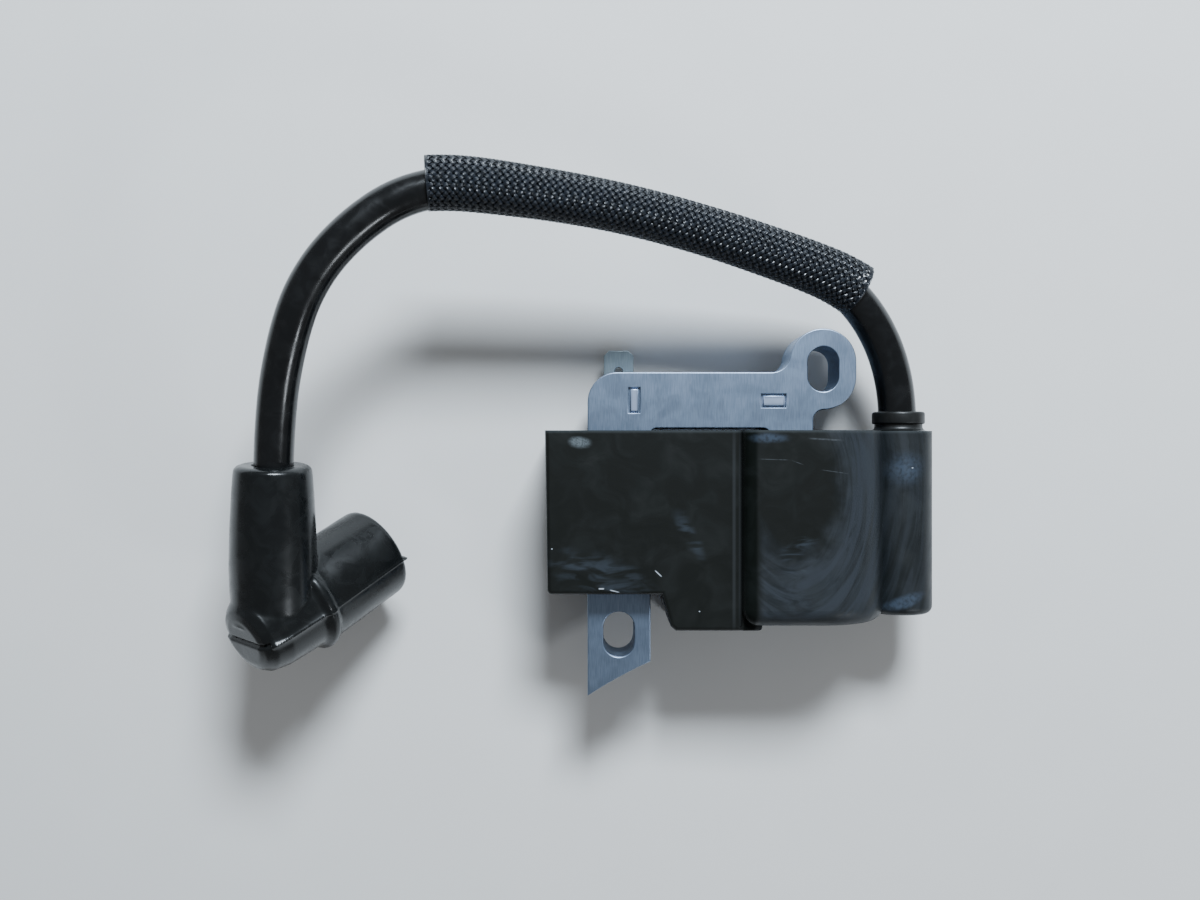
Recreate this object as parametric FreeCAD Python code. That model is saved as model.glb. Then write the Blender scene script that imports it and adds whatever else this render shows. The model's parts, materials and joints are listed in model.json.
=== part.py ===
import FreeCAD, Part
import math
import os

V = FreeCAD.Vector

# Ignition coil of a small two-stroke engine, in millimetres. The module lies on its flat back at z = 0,
# with the open, potted end of its case towards +Y. The origin is the middle of the module's footprint.

# Laminated core: one U-shaped sheet, repeated through the stack
SHEET_COUNT = 22
SHEET_THICKNESS = 0.5
CORE_BACK_Z = 7.0
CORE_FRONT_Z = CORE_BACK_Z + SHEET_COUNT * SHEET_THICKNESS
CORE_MID_Z = (CORE_BACK_Z + CORE_FRONT_Z) / 2
LEG_1_LEFT = -28.65
LEG_1_RIGHT = -17.0
LEG_2_LEFT = 5.0
LEG_2_RIGHT = 13.1
BAR_TOP = 25.9
BAR_BOTTOM = 15.6
BAR_CORNER_R = 5.5
BAR_INNER_R = 1.2
EAR_R = 6.15
EAR_X = 14.95
EAR_Y = 26.5
EAR_STRAIGHT = 2.7
EAR_BAR_FILLET_R = 3.5
EAR_LEG_FILLET_R = 2.0
SLOT_WIDTH = 5.75
SLOT_LENGTH = 8.4
LEG_SLOT = (-22.85, -22.6)
POLE_TIP_Y = -34.0
POLE_HEEL_Y = -27.6
FLYWHEEL_R = 85.0
CLINCH_MARKS = ((-20.0, 20.7, 2.1, 4.7), (5.8, 20.6, 4.5, 2.5))
CLINCH_DEPTH = 0.2
CLINCH_RIM = 0.28

# Case: a moulded cup, open at its +Y end
CASE_OPEN_Y = 15.06
CASE_LEFT = -36.35
CASE_DRAFT = 0.45
CASE_FRONT_Z = 23.0
CASE_WALL = 1.6
CASE_EDGE_R = 0.8
CASE_BOTTOM_Y = -14.7
CASE_STEP = ((-15.15, CASE_BOTTOM_Y), (-13.55, -20.4), (-12.6, -21.3))
CASE_DEEP_Y = -21.3
CASE_FLAT_END_X = 3.0
BULGE_FRONT_Z = 25.5
BULGE_BOTTOM_Y = -20.3
BULGE_FOOT_X = -1.5
BULGE_FOOT_R = 0.8
BULGE_SHOULDER_R = 1.7
BULGE_INNER_X = 0.3
BULGE_END_R = 3.0
BULGE_R = BULGE_FRONT_Z / 2
BULGE_AXIS_X = 14.2
TOWER_X = 30.15
TOWER_R = 6.2
TOWER_BOTTOM_Y = -19.2
TOWER_END_R = 1.5
TOWER_BORE_R = 4.6
RESIN_TOP_Y = 14.4

# Coils: rectangular sleeves about the two legs
COIL_FIT = 0.1
BOBBIN_WALL = 0.8
FLANGE_THICKNESS = 1.0
CHARGE_FLANGES_Y = (-12.5, 3.0, 9.0)
CHARGE_WINDING_DEPTH = 2.0
PRIMARY_Y = (-17.0, 12.0)
PRIMARY_WINDING_DEPTH = 1.1
SECONDARY_WALL = 0.7
SECONDARY_CHAMBERS = 5
SECONDARY_WINDING_DEPTH = 1.3
FLANGE_RIM = 0.3

# Circuit board, on edge between the coils, and its parts
BOARD_X = (-7.5, -6.5)
BOARD_Y = (-17.0, 12.5)
BOARD_Z = (3.0, 20.0)
CAPACITOR_DEPTH = 5.0
CAPACITOR_Y = (-6.5, 5.5)
CAPACITOR_Z = (7.5, 17.5)
CAPACITOR_EDGE_R = 0.6
THYRISTOR_R = 2.3
THYRISTOR_Y = (4.5, 9.1)
THYRISTOR_Z = 15.5
THYRISTOR_STAND = 3.2
THYRISTOR_FLAT = 1.7
THYRISTOR_LEG_PITCH = 1.3
THYRISTOR_LEG_X = (2.7, 3.1)
THYRISTOR_LEG_Y = (2.4, 5.0)
THYRISTOR_LEG_WIDTH = 0.44
DIODE_R = 1.35
DIODE_LENGTH = 5.0
DIODE_Y = -8.0
DIODE_Z = (5.5, 10.5, 15.5)
RESISTOR_R = 1.1
RESISTOR_LENGTH = 4.6
RESISTOR_SPOTS = ((-13.0, 7.0, -1), (-13.0, 13.0, -1), (4.5, 6.5, 1))
AXIAL_LEAD_R = 0.3
AXIAL_LEAD_REACH = 1.2
AXIAL_STAND = 0.4
STRAP_Y = (10.6, 12.4)
STRAP_Z = (11.8, 12.2)
KILL_WIRE_R = 0.6
KILL_WIRE_Y = 11.2
KILL_WIRE_Z = 4.4

# High-tension terminal, at the bottom of the tower
SPIKE_FOOT_R = 2.4
SPIKE_FOOT_HEIGHT = 1.5
LINK_R = 0.4
TOWER_BORE_END_Y = -6.0
TOWER_PASSAGE_HALF = 3.0

# Kill-switch tab
TAB_X = (-25.6, -19.8)
TAB_Y = (10.4, 30.93)
TAB_Z = (4.0, 4.8)
TAB_CHAMFER = 1.0
TAB_HOLE = (-22.7, 26.95)
TAB_HOLE_R = 0.75

# Spark lead, its collar and its loose braided sleeve
LEAD_R = 3.5
LEAD_CORE_R = 1.0
LEAD_START_Y = 5.5
LEAD_CORE_SETBACK = 4.0
COLLAR_R = 4.9
COLLAR_NECK_R = 4.45
COLLAR_Y = (9.0, 16.4, 18.7)
BRAID_R = (3.9, 5.4)
BRAID_SPAN = (37.6, 118.7)

# Spark plug boot: an elbow whose barrel turns about the straight end of the lead
ELBOW = V(-85.4, -19.5, 22.95)
BARREL_DIR = V(0.03, 0.99, 0.13).normalize()
SOCKET_DIR = V(0.616, 0.456, -0.643).normalize()
BARREL_LENGTH = 28.6
SOCKET_LENGTH = 25.0
DOME_R = 8.5
BARREL_R = 7.5
BARREL_RIM_R = 6.8
SOCKET_BASE_R = 9.6
SOCKET_MOUTH_R = 9.35
SOCKET_COLLAR_R = 10.0
SOCKET_COLLAR_T = (5.6, 7.6)
RIM_ROUND = 0.7
BARREL_BORE_R = 3.55
BARREL_BORE_END = 18.8
LEAD_END_S = 19.0
LEAD_LAST_POINT_S = 36.5
PLUG_BORE_R = 5.25
PLUG_BORE_T = 11.0
PLUG_MOUTH_R = 6.4
PLUG_MOUTH_DEPTH = 2.5
SPRING_CHAMBER_R = 4.6
SPRING_CHAMBER_T = 0.8
SPRING_WIRE_R = 0.5
SPRING_MEAN_R = 3.55
SPRING_PITCH = 1.7
SPRING_TURNS = 5
SPRING_START_T = 1.6
PRONG_R = 0.95
PRONG_S = (4.4, 25.0)
PRONG_HEAD_R = 2.2
PRONG_HEAD_S = (17.4, 18.5)

# The lead's route: tower axis, the arch towards the left, and down to the boot
LEAD_ROUTE = [
    V(TOWER_X, LEAD_START_Y, CORE_MID_Z),
    V(TOWER_X, 15.0, CORE_MID_Z),
    V(29.4, 24.6, 13.0),
    V(26.4, 33.0, 14.1),
    V(21.2, 40.0, 15.9),
    V(13.8, 45.1, 18.0),
    V(-1.6, 49.9, 21.9),
    V(-19.8, 54.2, 25.9),
    V(-38.0, 57.2, 28.5),
    V(-51.9, 58.1, 29.6),
    V(-61.4, 55.9, 30.6),
    V(-69.6, 49.9, 31.7),
    V(-76.0, 42.4, 32.4),
    V(-80.1, 33.2, 32.3),
    ELBOW + BARREL_DIR * LEAD_LAST_POINT_S,
    ELBOW + BARREL_DIR * LEAD_END_S,
]


def box(x, y, z):
    """A block between pairs of x, y and z."""
    return Part.makeBox(x[1] - x[0], y[1] - y[0], z[1] - z[0], V(x[0], y[0], z[0]))


def rod(start, end, radius):
    """A round rod between two points."""
    axis = end - start
    return Part.makeCylinder(radius, axis.Length, start, axis)


def arc(start, middle, end):
    """An arc edge through three points."""
    return Part.Arc(start, middle, end).toShape()


def bend(corner, centre, end):
    """The quarter-like arc from corner to end about a centre, by the short way."""
    radius = (corner - centre).Length
    middle = centre + ((corner + end) / 2 - centre).normalize() * radius
    return arc(corner, middle, end)


def line(start, end):
    """A straight edge."""
    return Part.LineSegment(start, end).toShape()


def prism(edges, sweep):
    """The solid that a closed flat outline makes along a vector."""
    return Part.Face(Part.Wire(edges)).extrude(sweep)


def polygon_prism(points, sweep):
    """The solid that a flat polygon makes along a vector."""
    return Part.Face(Part.makePolygon(points + points[:1])).extrude(sweep)


def lathe(profile, origin, axis):
    """A closed (radius, height) profile turned about an axis through origin."""
    points = [V(r, 0, h) for r, h in profile]
    face = Part.Face(Part.makePolygon(points + points[:1]))
    solid = face.revolve(V(0, 0, 0), V(0, 0, 1), 360)
    solid.Placement = FreeCAD.Placement(origin, FreeCAD.Rotation(V(0, 0, 1), axis))
    return solid


def fuse(shapes):
    """One solid from overlapping ones."""
    return shapes[0].fuse(shapes[1:]).removeSplitter()


def obround(x, y, width, length, z, height):
    """An upright slot-shaped block whose long side is along Y."""
    r = width / 2
    half = length / 2 - r
    top, bottom = y + half, y - half
    edges = [
        line(V(x - r, bottom, z), V(x - r, top, z)),
        arc(V(x - r, top, z), V(x, top + r, z), V(x + r, top, z)),
        line(V(x + r, top, z), V(x + r, bottom, z)),
        arc(V(x + r, bottom, z), V(x, bottom - r, z), V(x - r, bottom, z)),
    ]
    return prism(edges, V(0, 0, height))


def flywheel_centre():
    """The centre of the flywheel, which both pole faces are curved about."""
    tip = V(LEG_1_LEFT, POLE_TIP_Y, 0)
    heel = V(LEG_1_RIGHT, POLE_HEEL_Y, 0)
    chord = heel - tip
    rise = math.sqrt(FLYWHEEL_R**2 - (chord.Length / 2) ** 2)
    return (tip + heel) / 2 + V(chord.y, -chord.x, 0).normalize() * rise


def pole_y(x):
    """Where the flywheel's clearance circle crosses a leg at x."""
    centre = flywheel_centre()
    return centre.y + math.sqrt(FLYWHEEL_R**2 - (x - centre.x) ** 2)


def core_outline():
    """The U-shaped sheet's outline: two legs, the bar and the rounded ear."""
    z = CORE_BACK_Z
    ear_top = EAR_Y + EAR_STRAIGHT / 2
    ear_bottom = EAR_Y - EAR_STRAIGHT / 2
    lift = BAR_TOP + EAR_BAR_FILLET_R
    reach = math.sqrt((EAR_R + EAR_BAR_FILLET_R) ** 2 - (lift - ear_top) ** 2)
    fillet = V(EAR_X - reach, lift, z)
    ear_centre = V(EAR_X, ear_top, z)
    on_ear = ear_centre + (fillet - ear_centre).normalize() * EAR_R
    low_x = LEG_2_RIGHT + EAR_LEG_FILLET_R
    drop = math.sqrt((EAR_R + EAR_LEG_FILLET_R) ** 2 - (low_x - EAR_X) ** 2)
    low_fillet = V(low_x, ear_bottom - drop, z)
    low_centre = V(EAR_X, ear_bottom, z)
    under_ear = low_centre + (low_fillet - low_centre).normalize() * EAR_R
    middle = (LEG_1_LEFT + LEG_1_RIGHT) / 2
    leg_2_mid = (LEG_2_LEFT + LEG_2_RIGHT) / 2
    inner_y = BAR_BOTTOM - BAR_INNER_R
    return [
        line(V(LEG_1_LEFT, POLE_TIP_Y, z), V(LEG_1_LEFT, BAR_TOP - BAR_CORNER_R, z)),
        bend(
            V(LEG_1_LEFT, BAR_TOP - BAR_CORNER_R, z),
            V(LEG_1_LEFT + BAR_CORNER_R, BAR_TOP - BAR_CORNER_R, z),
            V(LEG_1_LEFT + BAR_CORNER_R, BAR_TOP, z),
        ),
        line(V(LEG_1_LEFT + BAR_CORNER_R, BAR_TOP, z), V(fillet.x, BAR_TOP, z)),
        bend(V(fillet.x, BAR_TOP, z), fillet, on_ear),
        arc(on_ear, V(EAR_X, ear_top + EAR_R, z), V(EAR_X + EAR_R, ear_top, z)),
        line(V(EAR_X + EAR_R, ear_top, z), V(EAR_X + EAR_R, ear_bottom, z)),
        bend(V(EAR_X + EAR_R, ear_bottom, z), low_centre, under_ear),
        bend(under_ear, low_fillet, V(LEG_2_RIGHT, low_fillet.y, z)),
        line(V(LEG_2_RIGHT, low_fillet.y, z), V(LEG_2_RIGHT, pole_y(LEG_2_RIGHT), z)),
        arc(
            V(LEG_2_RIGHT, pole_y(LEG_2_RIGHT), z),
            V(leg_2_mid, pole_y(leg_2_mid), z),
            V(LEG_2_LEFT, pole_y(LEG_2_LEFT), z),
        ),
        line(V(LEG_2_LEFT, pole_y(LEG_2_LEFT), z), V(LEG_2_LEFT, inner_y, z)),
        bend(
            V(LEG_2_LEFT, inner_y, z),
            V(LEG_2_LEFT - BAR_INNER_R, inner_y, z),
            V(LEG_2_LEFT - BAR_INNER_R, BAR_BOTTOM, z),
        ),
        line(V(LEG_2_LEFT - BAR_INNER_R, BAR_BOTTOM, z), V(LEG_1_RIGHT + BAR_INNER_R, BAR_BOTTOM, z)),
        bend(
            V(LEG_1_RIGHT + BAR_INNER_R, BAR_BOTTOM, z),
            V(LEG_1_RIGHT + BAR_INNER_R, inner_y, z),
            V(LEG_1_RIGHT, inner_y, z),
        ),
        line(V(LEG_1_RIGHT, inner_y, z), V(LEG_1_RIGHT, POLE_HEEL_Y, z)),
        arc(V(LEG_1_RIGHT, POLE_HEEL_Y, z), V(middle, pole_y(middle), z), V(LEG_1_LEFT, POLE_TIP_Y, z)),
    ]


def clinch_groove(x, y, width, height):
    """The recessed frame round the raised middle of a clinch mark on the front sheet."""
    z = (CORE_FRONT_Z - CLINCH_DEPTH, CORE_FRONT_Z + 1)
    outer = box((x - width / 2, x + width / 2), (y - height / 2, y + height / 2), z)
    w, h = width / 2 - CLINCH_RIM, height / 2 - CLINCH_RIM
    return outer.cut(box((x - w, x + w), (y - h, y + h), z))


def core_laminations():
    """The stack, which its two clinch points lock into one piece, with its two mounting slots."""
    depth = CORE_FRONT_Z - CORE_BACK_Z
    stack = prism(core_outline(), V(0, 0, depth))
    for x, y in ((EAR_X, EAR_Y), LEG_SLOT):
        stack = stack.cut(obround(x, y, SLOT_WIDTH, SLOT_LENGTH, CORE_BACK_Z - 1, depth + 2))
    for mark in CLINCH_MARKS:
        stack = stack.cut(clinch_groove(*mark))
    return stack


def edges_at(solid, test):
    """The edges of a solid whose two ends and middle all satisfy a test on their points."""
    found = []
    for edge in solid.Edges:
        middle = edge.valueAt((edge.FirstParameter + edge.LastParameter) / 2)
        points = [v.Point for v in edge.Vertexes] + [middle]
        if all(test(p) for p in points):
            found.append(edge)
    return found


def flat_box():
    """The flat part of the case, with its drafted left wall and the step in its lower edge."""
    outline = [(CASE_LEFT, CASE_OPEN_Y), (CASE_LEFT + CASE_DRAFT, CASE_BOTTOM_Y)]
    outline += list(CASE_STEP)
    outline += [(CASE_FLAT_END_X, CASE_DEEP_Y), (CASE_FLAT_END_X, CASE_OPEN_Y)]
    block = polygon_prism([V(x, y, 0) for x, y in outline], V(0, 0, CASE_FRONT_Z))
    step_end = CASE_STEP[-1][0]

    def rounded(p):
        inside = p.x < CASE_FLAT_END_X - 0.01 or p.y < CASE_DEEP_Y + 0.01
        return inside and p.y < CASE_OPEN_Y + 0.01

    edges = []
    for edge in edges_at(block, rounded):
        start, end = edge.Vertexes[0].Point, edge.Vertexes[-1].Point
        open_rim = min(start.y, end.y) > CASE_OPEN_Y - 0.01
        joins_bulge = min(start.x, end.x) > CASE_FLAT_END_X - 0.01 and start.z == end.z
        upright_step = start.z != end.z and start.x > CASE_STEP[0][0] - 0.01 and start.x <= step_end
        if not (open_rim or joins_bulge or upright_step):
            edges.append(edge)
    return block.makeFillet(CASE_EDGE_R, edges)


def bulge():
    """The transformer's rounded housing, full-round on its right side."""
    y = CASE_OPEN_Y
    foot = BULGE_FOOT_X + BULGE_FOOT_R
    shoulder = foot + BULGE_SHOULDER_R
    top = BULGE_FRONT_Z
    low = V(foot, y, 0)
    edges = [
        line(low, V(foot, y, top - BULGE_SHOULDER_R)),
        bend(
            V(foot, y, top - BULGE_SHOULDER_R),
            V(shoulder, y, top - BULGE_SHOULDER_R),
            V(shoulder, y, top),
        ),
        line(V(shoulder, y, top), V(BULGE_AXIS_X, y, top)),
        arc(V(BULGE_AXIS_X, y, top), V(BULGE_AXIS_X + BULGE_R, y, top / 2), V(BULGE_AXIS_X, y, 0)),
        line(V(BULGE_AXIS_X, y, 0), low),
    ]
    solid = prism(edges, V(0, BULGE_BOTTOM_Y - y, 0))

    def at_end(p):
        return p.y < BULGE_BOTTOM_Y + 0.01 and p.x > foot + 0.01

    return solid.makeFillet(BULGE_END_R, edges_at(solid, at_end))


def bulge_foot():
    """The hollow fillet where the bulge rises from the flat part."""
    y = BULGE_BOTTOM_Y
    foot = BULGE_FOOT_X + BULGE_FOOT_R
    edges = [
        line(V(foot, y, CASE_FRONT_Z - 1), V(foot, y, CASE_FRONT_Z + BULGE_FOOT_R)),
        bend(
            V(foot, y, CASE_FRONT_Z + BULGE_FOOT_R),
            V(BULGE_FOOT_X, y, CASE_FRONT_Z + BULGE_FOOT_R),
            V(BULGE_FOOT_X, y, CASE_FRONT_Z),
        ),
        line(V(BULGE_FOOT_X, y, CASE_FRONT_Z), V(BULGE_FOOT_X, y, CASE_FRONT_Z - 1)),
        line(V(BULGE_FOOT_X, y, CASE_FRONT_Z - 1), V(foot, y, CASE_FRONT_Z - 1)),
    ]
    return prism(edges, V(0, CASE_OPEN_Y - y, 0))


def tower():
    """The round tower that the spark lead leaves by."""
    start = V(TOWER_X, TOWER_BOTTOM_Y, CORE_MID_Z)
    solid = rod(start, V(TOWER_X, CASE_OPEN_Y, CORE_MID_Z), TOWER_R)
    return solid.makeFillet(TOWER_END_R, edges_at(solid, lambda p: p.y < TOWER_BOTTOM_Y + 0.01))


def cavity():
    """The space inside the case, open at its +Y end."""
    wall = CASE_WALL
    top = CASE_OPEN_Y + 1
    z = (wall, CASE_FRONT_Z - wall)
    left = box((CASE_LEFT + CASE_DRAFT + wall, CASE_STEP[0][0]), (CASE_BOTTOM_Y + wall, top), z)
    deep = box((CASE_STEP[0][0] - 1, BULGE_INNER_X + 1), (CASE_DEEP_Y + wall, top), z)
    deep = deep.cut(box((CASE_STEP[0][0] - 2, CASE_STEP[2][0] + wall), (-30, CASE_BOTTOM_Y + wall), z))
    round_side = rod(
        V(BULGE_AXIS_X, BULGE_BOTTOM_Y + wall, BULGE_R), V(BULGE_AXIS_X, top, BULGE_R), BULGE_R - wall
    )
    square_side = box(
        (BULGE_INNER_X, BULGE_AXIS_X), (BULGE_BOTTOM_Y + wall, top), (wall, BULGE_FRONT_Z - wall)
    )
    end = TOWER_BORE_END_Y
    lead_bore = rod(V(TOWER_X, end, CORE_MID_Z), V(TOWER_X, top, CORE_MID_Z), TOWER_BORE_R)
    passage_z = (CORE_MID_Z - TOWER_PASSAGE_HALF, CORE_MID_Z + TOWER_PASSAGE_HALF)
    passage = box((BULGE_AXIS_X, TOWER_X), (end, top), passage_z)
    return fuse([left, deep, square_side, round_side, lead_bore, passage])


def leg_windows():
    """Where the core's legs pass through the case's lower wall."""
    z = (CORE_BACK_Z, CORE_FRONT_Z)
    first = box((LEG_1_LEFT, LEG_1_RIGHT), (-25, 0), z)
    second = box((LEG_2_LEFT, LEG_2_RIGHT), (-25, 0), z)
    return [first, second]


def case_shell():
    """The moulded cup with its bulge and tower."""
    outer = fuse([flat_box(), bulge(), bulge_foot(), tower()])
    return outer.cut([cavity()] + leg_windows())


def frame_ring(centre, inner, outer, y):
    """A rectangular ring about a leg: inner and outer are (width, height), y is (low, high)."""

    def block(size, span):
        half_w, half_h = size[0] / 2, size[1] / 2
        x, z = centre
        return box((x - half_w, x + half_w), span, (z - half_h, z + half_h))

    return block(outer, y).cut(block(inner, (y[0] - 1, y[1] + 1)))


def grow(size, by):
    """A (width, height) pair made larger by a thickness on every side."""
    return (size[0] + 2 * by, size[1] + 2 * by)


# The coils' sections, worked out from each leg outwards
CORE_DEPTH = CORE_FRONT_Z - CORE_BACK_Z
CHARGE_CENTRE = ((LEG_1_LEFT + LEG_1_RIGHT) / 2, CORE_MID_Z)
CHARGE_INNER = grow((LEG_1_RIGHT - LEG_1_LEFT, CORE_DEPTH), COIL_FIT)
CHARGE_TUBE = grow(CHARGE_INNER, BOBBIN_WALL)
CHARGE_WOUND = grow(CHARGE_TUBE, CHARGE_WINDING_DEPTH)
SECOND_CENTRE = ((LEG_2_LEFT + LEG_2_RIGHT) / 2, CORE_MID_Z)
PRIMARY_INNER = grow((LEG_2_RIGHT - LEG_2_LEFT, CORE_DEPTH), COIL_FIT)
PRIMARY_TUBE = grow(PRIMARY_INNER, BOBBIN_WALL)
PRIMARY_WOUND = grow(PRIMARY_TUBE, PRIMARY_WINDING_DEPTH)
SECONDARY_INNER = grow(PRIMARY_WOUND, FLANGE_RIM)
SECONDARY_TUBE = grow(SECONDARY_INNER, SECONDARY_WALL)
SECONDARY_WOUND = grow(SECONDARY_TUBE, SECONDARY_WINDING_DEPTH)


def bobbin(centre, inner, tube, wound, flanges):
    """A rectangular tube with flanges whose lower faces are at the given heights."""
    rings = [frame_ring(centre, inner, tube, (flanges[0], flanges[-1] + FLANGE_THICKNESS))]
    for y in flanges:
        rings.append(frame_ring(centre, inner, grow(wound, FLANGE_RIM), (y, y + FLANGE_THICKNESS)))
    return fuse(rings)


def winding(centre, tube, wound, low_flange, high_flange):
    """The wire between two flanges, as a solid ring."""
    return frame_ring(centre, tube, wound, (low_flange + FLANGE_THICKNESS, high_flange))


def secondary_flanges():
    """The lower faces of the secondary bobbin's evenly spaced flanges."""
    low, high = PRIMARY_Y[0], PRIMARY_Y[1] - FLANGE_THICKNESS
    step = (high - low) / SECONDARY_CHAMBERS
    return [low + i * step for i in range(SECONDARY_CHAMBERS + 1)]


def circuit_board():
    """The bare board."""
    return box(BOARD_X, BOARD_Y, BOARD_Z)


def ignition_capacitor():
    """The film capacitor that the charge coil fills, on the board's left side."""
    left = BOARD_X[0] - CAPACITOR_DEPTH
    block = box((left, BOARD_X[0]), CAPACITOR_Y, CAPACITOR_Z)
    return block.makeFillet(CAPACITOR_EDGE_R, edges_at(block, lambda p: p.x < left + 0.1))


def thyristor():
    """The switching thyristor: a round body with one flat side, and three leads."""
    x = BOARD_X[1]
    start = V(x + THYRISTOR_STAND, THYRISTOR_Y[0], THYRISTOR_Z)
    body = rod(start, V(start.x, THYRISTOR_Y[1], THYRISTOR_Z), THYRISTOR_R)
    body = body.cut(box((x - 1, x + THYRISTOR_FLAT), (0, 20), (0, 25)))
    low_y, high_y = THYRISTOR_LEG_Y
    inner, outer = (x + reach for reach in THYRISTOR_LEG_X)
    legs = []
    for step in (-1, 0, 1):
        middle = THYRISTOR_Z + step * THYRISTOR_LEG_PITCH
        z = (middle - THYRISTOR_LEG_WIDTH / 2, middle + THYRISTOR_LEG_WIDTH / 2)
        legs.append(box((inner, outer), (low_y, high_y), z))
        legs.append(box((x, outer), (low_y, low_y + outer - inner), z))
    return fuse([body] + legs)


def axial_part(y, z, radius, length, side):
    """A round part lying along the board, on its two bent leads."""
    face = BOARD_X[1] if side > 0 else BOARD_X[0]
    x = face + side * (radius + AXIAL_STAND)
    half = length / 2
    reach = half + AXIAL_LEAD_REACH
    body = rod(V(x, y - half, z), V(x, y + half, z), radius)
    wire = rod(V(x, y - reach, z), V(x, y + reach, z), AXIAL_LEAD_R)
    feet = []
    for end in (-1, 1):
        foot_y = y + end * (reach - AXIAL_LEAD_R)
        feet.append(rod(V(face, foot_y, z), V(x + side * AXIAL_LEAD_R, foot_y, z), AXIAL_LEAD_R))
    return fuse([body, wire] + feet)


def rectifier_diodes():
    """Three diodes on the board's right side."""
    return Part.makeCompound([axial_part(DIODE_Y, z, DIODE_R, DIODE_LENGTH, 1) for z in DIODE_Z])


def resistors():
    """Three resistors, two of them beside the capacitor."""
    placed = [axial_part(y, z, RESISTOR_R, RESISTOR_LENGTH, side) for y, z, side in RESISTOR_SPOTS]
    return Part.makeCompound(placed)


def ground_strap():
    """The strip from the board to the core, which earths the circuit."""
    return box((LEG_1_RIGHT, BOARD_X[0]), STRAP_Y, STRAP_Z)


def kill_wire():
    """The insulated wire from the board to the kill-switch tab."""
    start = V(TAB_X[1], KILL_WIRE_Y, KILL_WIRE_Z)
    return rod(start, V(BOARD_X[0], KILL_WIRE_Y, KILL_WIRE_Z), KILL_WIRE_R)


def kill_switch_tab():
    """The flat spade terminal, rooted in the resin behind the core."""
    x0, x1 = TAB_X
    y0, y1 = TAB_Y
    c = TAB_CHAMFER
    outline = [(x0, y0), (x1, y0), (x1, y1 - c), (x1 - c, y1), (x0 + c, y1), (x0, y1 - c)]
    blade = polygon_prism([V(x, y, TAB_Z[0]) for x, y in outline], V(0, 0, TAB_Z[1] - TAB_Z[0]))
    hole = rod(V(*TAB_HOLE, TAB_Z[0] - 1), V(*TAB_HOLE, TAB_Z[1] + 1), TAB_HOLE_R)
    return blade.cut(hole)


def ht_terminal():
    """The spike that the spark lead is pushed onto, on its round foot."""
    foot_y = LEAD_START_Y - SPIKE_FOOT_HEIGHT
    foot = rod(V(TOWER_X, foot_y, CORE_MID_Z), V(TOWER_X, LEAD_START_Y, CORE_MID_Z), SPIKE_FOOT_R)
    spike_end = LEAD_START_Y + LEAD_CORE_SETBACK
    spike = rod(V(TOWER_X, foot_y, CORE_MID_Z), V(TOWER_X, spike_end, CORE_MID_Z), LEAD_CORE_R)
    return fuse([foot, spike])


def ht_link():
    """The wire from the secondary winding's last chamber to the spike's foot."""
    y = LEAD_START_Y - SPIKE_FOOT_HEIGHT / 2
    edge = SECOND_CENTRE[0] + SECONDARY_WOUND[0] / 2
    return rod(V(edge, y, CORE_MID_Z), V(TOWER_X - SPIKE_FOOT_R, y, CORE_MID_Z), LINK_R)


def lead_collar(lead):
    """The rubber collar that seals the lead into the tower, with a ring at its outer end."""
    low, neck, high = COLLAR_Y
    profile = [
        (0, low),
        (TOWER_BORE_R, low),
        (TOWER_BORE_R, CASE_OPEN_Y - 0.2),
        (COLLAR_NECK_R, CASE_OPEN_Y - 0.2),
        (COLLAR_NECK_R, neck),
        (COLLAR_R - 0.25, neck),
        (COLLAR_R, neck + 0.25),
        (COLLAR_R, high - 0.35),
        (COLLAR_R - 0.35, high),
        (0, high),
    ]
    return lathe(profile, V(TOWER_X, 0, CORE_MID_Z), V(0, 1, 0)).cut(lead)


def route_edges(points):
    """Straight runs joined by tangent arcs, each as large as its two runs allow."""
    edges, radii = [], []
    last = points[0]
    for before, here, after in zip(points, points[1:], points[2:]):
        back, ahead = before - here, after - here
        turn = math.pi - back.getAngle(ahead)
        setback = 0.45 * min(back.Length, ahead.Length)
        start = here + back.normalize() * setback
        end = here + ahead.normalize() * setback
        radius = setback / math.tan(turn / 2)
        inward = (back + ahead).normalize()
        middle = here + inward * (math.hypot(radius, setback) - radius)
        edges += [line(last, start), arc(start, middle, end)]
        radii.append(radius)
        last = end
    edges.append(line(last, points[-1]))
    return edges, radii


def trimmed(edges, start, end):
    """The stretch of a chain of edges between two distances along it."""
    kept, travelled = [], 0.0
    for edge in edges:
        low = max(start - travelled, 0.0)
        high = min(end - travelled, edge.Length)
        if high - low > 1e-6:
            first = edge.getParameterByLength(low)
            last = edge.getParameterByLength(high)
            kept.append(edge.Curve.toShape(first, last))
        travelled += edge.Length
    return kept


def pipe(edges, radius):
    """A round rod that follows a chain of edges."""
    path = Part.Wire(edges)
    start = edges[0].Vertexes[0].Point
    heading = edges[0].tangentAt(edges[0].FirstParameter)
    circle = Part.Wire(Part.makeCircle(radius, start, heading))
    return path.makePipeShell([circle], True, True)


def boot_point(axis, distance):
    """The point at a distance from the elbow along one of the boot's two axes."""
    return ELBOW + axis * distance


def barrel_bore():
    """The bore that the lead's straight end turns in, and the narrower seats of the prong."""
    mouth = boot_point(BARREL_DIR, BARREL_LENGTH + 1)
    bore = rod(boot_point(BARREL_DIR, BARREL_BORE_END), mouth, BARREL_BORE_R)
    seat = rod(
        boot_point(BARREL_DIR, PRONG_HEAD_S[0]), boot_point(BARREL_DIR, BARREL_BORE_END + 0.1), PRONG_HEAD_R
    )
    hole = rod(boot_point(BARREL_DIR, 2.0), boot_point(BARREL_DIR, PRONG_HEAD_S[0] + 0.1), PRONG_R)
    return [bore, seat, hole]


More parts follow.
